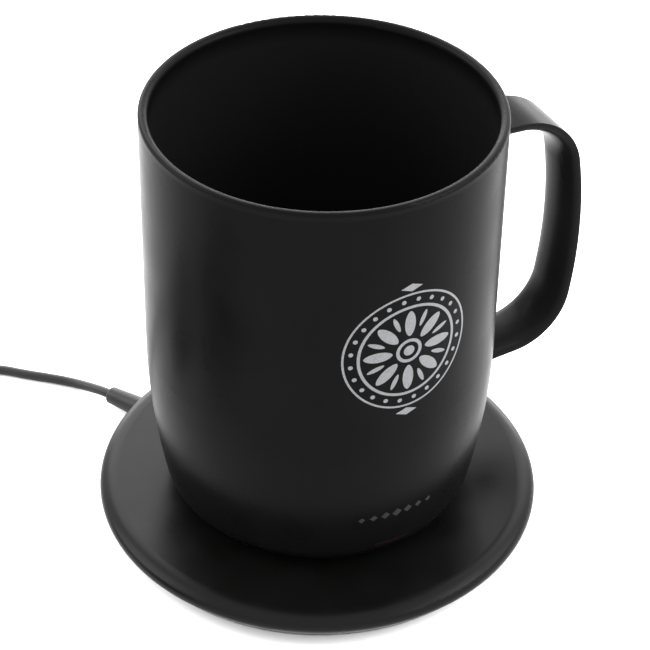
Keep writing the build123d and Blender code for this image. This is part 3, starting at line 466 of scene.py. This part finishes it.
finishes = {
    "coated_steel": satin_coating("satin_coating", tone=0.0023),
    "cover_plastic": cover_plastic(),
    "base_plastic": moulded_plastic("body_plastic", (0.004, 0.004, 0.0042), 0.45, 0.12),
    "dark_rubber": soft_rubber("soft_rubber", (0.006, 0.006, 0.0062)),
    "cord_jacket": jacket,
    "steel": turned_metal("plain_steel", (0.34, 0.34, 0.35), 0.3),
    "contact_metal": turned_metal("gold_plate", (0.50, 0.36, 0.15), 0.22),
    "board_laminate": printed_board(),
    "chip_plastic": moulded_plastic("chip_plastic", (0.012, 0.012, 0.012), 0.4),
    "light_plastic": glowing_guide(),
    "led_plastic": lamp_resin(),
    "cell_sleeve": shrink_sleeve("cell_sleeve", (0.03, 0.12, 0.30)),
    "nickel": turned_metal("nickel_strip", (0.64, 0.62, 0.58), 0.35),
    "heater_laminate": heater_laminate(),
    "insulation": pressed_fibre(),
    "tray_plastic": moulded_plastic("inner_plastic", (0.04, 0.04, 0.043)),
    "wire_jacket": soft_rubber("wire_jacket", (0.30, 0.02, 0.015)),
    "capacitor_sleeve": shrink_sleeve("capacitor_sleeve", (0.02, 0.03, 0.10)),
}


def dress_nodes():
    """Give every CAD node the finish of its slot, or one of its own."""
    slots = {entry["node"]: entry["material_slot"] for entry in frame["record"]["subparts"]}
    own_finishes = {
        "inner_liner": lining_with_painted_light(),
        # The handle's coating is the body's black painted paler, as painted light on its
        # faces.
        "handle": satin_coating("handle_with_painted_light", tone=0.0055),
    }
    for name, piece in nodes.items():
        finish = own_finishes.get(name) or finishes[slots[name]]
        piece.data.materials.clear()
        piece.data.materials.append(finish)


dress_nodes()
cord.data.materials.append(jacket)


# Prints on the wall: flat shapes, across and up in metres, bent round the mug
PRINT_LIFT = 0.00005     # off the wall
PRINT_AZIMUTH = math.radians(-90.0)
LONG_EDGE = 0.002        # an edge over this is cut up, so that it can bend
LONG_EDGE_CUTS = 2
ON_AXIS = 1e-6           # a point this near a petal's axis counts as on it
TAPER_TOP = 0.0511       # below this height the wall curves inwards
TAPER_RADIUS = 0.177
ORNAMENT_HEIGHT = 0.0735  # of its middle over the table
ORNAMENT_PETALS = 8
ORNAMENT_DOTS = 24
DOT_RING = 0.0133        # from the ornament's middle to a dot's
LOZENGE_RING = 0.0167    # from the ornament's middle to a lozenge's
MARK_HEIGHT = 0.0257     # of its middle over the table
MARK_PITCH = 0.0030
MARK_SIDE_COUNT = 3      # lozenges on each side of the middle one
MARK_SIZE = 0.0026
MARK_SHRINK = 0.0003     # from one lozenge to the next


def wall_radius(height):
    """The mug's radius at a height, as in the CAD model."""
    if height >= TAPER_TOP:
        return mug_radius
    drop = TAPER_TOP - height
    return mug_radius - TAPER_RADIUS + math.sqrt(TAPER_RADIUS ** 2 - drop ** 2)


def flat_disc(shapes, radius, across, up, segments=24):
    """A disc whose middle is at a place of the flat drawing."""
    bmesh.ops.create_circle(
        shapes, cap_ends=True, segments=segments, radius=radius,
        matrix=Matrix.Translation((across, up, 0)),
    )


def flat_ring(shapes, outer, inner, segments=96):
    """A ring between two radii, round the drawing's middle."""
    edges = set()
    for radius in (outer, inner):
        made = bmesh.ops.create_circle(shapes, segments=segments, radius=radius)
        edges |= {edge for vert in made["verts"] for edge in vert.link_edges}
    bmesh.ops.bridge_loops(shapes, edges=list(edges))


def flat_petal(shapes, start, length, width, angle, bluntness=0.6, segments=28):
    """A leaf-shaped blade that points outwards at an angle to the drawing's first axis."""
    made = bmesh.ops.create_circle(shapes, cap_ends=True, segments=segments, radius=0.5)
    for vert in made["verts"]:
        along = vert.co.x + 0.5
        reach = (4 * along * (1 - along)) ** bluntness if 0 < along < 1 else 0
        side = math.copysign(reach, vert.co.y) if abs(vert.co.y) > ON_AXIS else 0
        vert.co = Vector((start + length * along, side * width / 2, 0))
    turn = Matrix.Rotation(angle, 4, "Z")
    bmesh.ops.transform(shapes, matrix=turn, verts=made["verts"])


def flat_lozenge(shapes, across, up, width, height):
    """A lozenge whose middle is at a place of the flat drawing."""
    made = bmesh.ops.create_circle(shapes, cap_ends=True, segments=4, radius=1)
    for vert in made["verts"]:
        vert.co = Vector((across + vert.co.x * width / 2, up + vert.co.y * height / 2, 0))


def print_on_wall(name, shapes, height, ink):
    """Bend flat shapes round the wall, with their middle at the print's azimuth."""
    bmesh.ops.triangulate(shapes, faces=shapes.faces)
    bmesh.ops.subdivide_edges(
        shapes, edges=[edge for edge in shapes.edges if edge.calc_length() > LONG_EDGE],
        cuts=LONG_EDGE_CUTS, use_grid_fill=True,
    )
    bmesh.ops.triangulate(shapes, faces=shapes.faces)
    for vert in shapes.verts:
        angle = PRINT_AZIMUTH + vert.co.x / mug_radius
        level = height + vert.co.y
        radius = wall_radius(level) + PRINT_LIFT
        vert.co = Vector((radius * math.cos(angle), radius * math.sin(angle), level))
    for face in shapes.faces:
        middle = face.calc_center_median()
        if face.normal.dot(Vector((middle.x, middle.y, 0))) < 0:
            face.normal_flip()
    mesh = bpy.data.meshes.new(name)
    shapes.to_mesh(mesh)
    shapes.free()
    for face in mesh.polygons:
        face.use_smooth = True
    mesh.materials.append(ink)
    piece = bpy.data.objects.new(name, mesh)
    scene.collection.objects.link(piece)
    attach(piece, "mug")


def make_ornament():
    """A generic round ornament of petals, rings, dots and lozenges."""
    shapes = bmesh.new()
    flat_disc(shapes, radius=0.0013, across=0, up=0)
    flat_ring(shapes, outer=0.0031, inner=0.0023)
    for number in range(ORNAMENT_PETALS):
        angle = math.tau * number / ORNAMENT_PETALS
        between = angle + math.tau / ORNAMENT_PETALS / 2
        flat_petal(shapes, start=0.0039, length=0.0066, width=0.0026, angle=angle)
        flat_petal(shapes, start=0.0062, length=0.0042, width=0.0011, angle=between)
    flat_ring(shapes, outer=0.0119, inner=0.0112)
    for number in range(ORNAMENT_DOTS):
        angle = math.tau * (number + 0.5) / ORNAMENT_DOTS
        across, up = DOT_RING * math.cos(angle), DOT_RING * math.sin(angle)
        flat_disc(shapes, radius=0.00055, across=across, up=up, segments=12)
    flat_ring(shapes, outer=0.0152, inner=0.0147)
    for side in (-1, 1):
        flat_lozenge(shapes, across=0, up=side * LOZENGE_RING, width=0.0052, height=0.0020)
    print_on_wall("front_ornament", shapes, ORNAMENT_HEIGHT, silver_ink())


def make_mark():
    """A row of small lozenges, where a small print sits low on the front."""
    shapes = bmesh.new()
    for number in range(-MARK_SIDE_COUNT, MARK_SIDE_COUNT + 1):
        size = MARK_SIZE - MARK_SHRINK * abs(number)
        flat_lozenge(shapes, across=number * MARK_PITCH, up=0, width=size, height=size)
    print_on_wall("low_mark", shapes, MARK_HEIGHT, grey_ink())


make_ornament()
make_mark()


# Studio: a pale floor and soft light. Each light has a place, a size and a radiance.
FLOOR_HALF = 3.0         # from the floor's middle to its sides
WORLD_STRENGTH = 2.4
LIGHT_AIM = Vector((0, 0, 0.05))
LIGHTS = {
    "behind_left": ((0.21, 1.21, 1.00), (1.0, 0.9), 6.2),
    "behind_right": ((1.04, 0.66, 1.00), (0.8, 0.9), 3.6),
    "backdrop": ((1.20, 2.20, 0.35), (3.0, 0.6), 7.0),
    "right": ((1.20, -0.30, 1.10), (0.8, 0.8), 4.0),
    "front_right": ((0.38, -0.36, 0.42), (0.3, 0.3), 9.0),
    "left": ((-1.05, 0.75, 0.95), (0.9, 0.9), 7.0),
}


def make_floor():
    shape = bmesh.new()
    bmesh.ops.create_grid(shape, x_segments=1, y_segments=1, size=FLOOR_HALF)
    mesh = bpy.data.meshes.new("floor")
    shape.to_mesh(mesh)
    shape.free()
    color = (0.90, 0.90, 0.90)
    material, shader = new_material("floor_paper", color, roughness=0.9, specular=0.1)
    dark, light = (0.89, 0.89, 0.89), (0.91, 0.91, 0.91)
    shade(material, shader, grain(material, size=0.05), dark, light)
    mesh.materials.append(material)
    floor = bpy.data.objects.new("floor", mesh)
    scene.collection.objects.link(floor)


def soft_light(name, place, size, radiance):
    """A large area light that faces the mug and that the camera does not see."""
    lamp = bpy.data.lights.new(name, "AREA")
    lamp.shape = "RECTANGLE"
    lamp.size, lamp.size_y = size
    lamp.energy = radiance * math.pi * size[0] * size[1]
    light = bpy.data.objects.new(name, lamp)
    scene.collection.objects.link(light)
    light.location = place
    light.rotation_euler = (Vector(place) - LIGHT_AIM).to_track_quat("Z", "Y").to_euler()
    light.visible_camera = False


def make_studio():
    world = bpy.data.worlds.new("studio")
    scene.world = world
    world.use_nodes = True
    background = world.node_tree.nodes["Background"]
    background.inputs["Color"].default_value = (1, 1, 1, 1)
    background.inputs["Strength"].default_value = WORLD_STRENGTH
    for name, (place, size, radiance) in LIGHTS.items():
        soft_light(name, place, size, radiance)
    scene.view_settings.view_transform = "Standard"


make_floor()
make_studio()
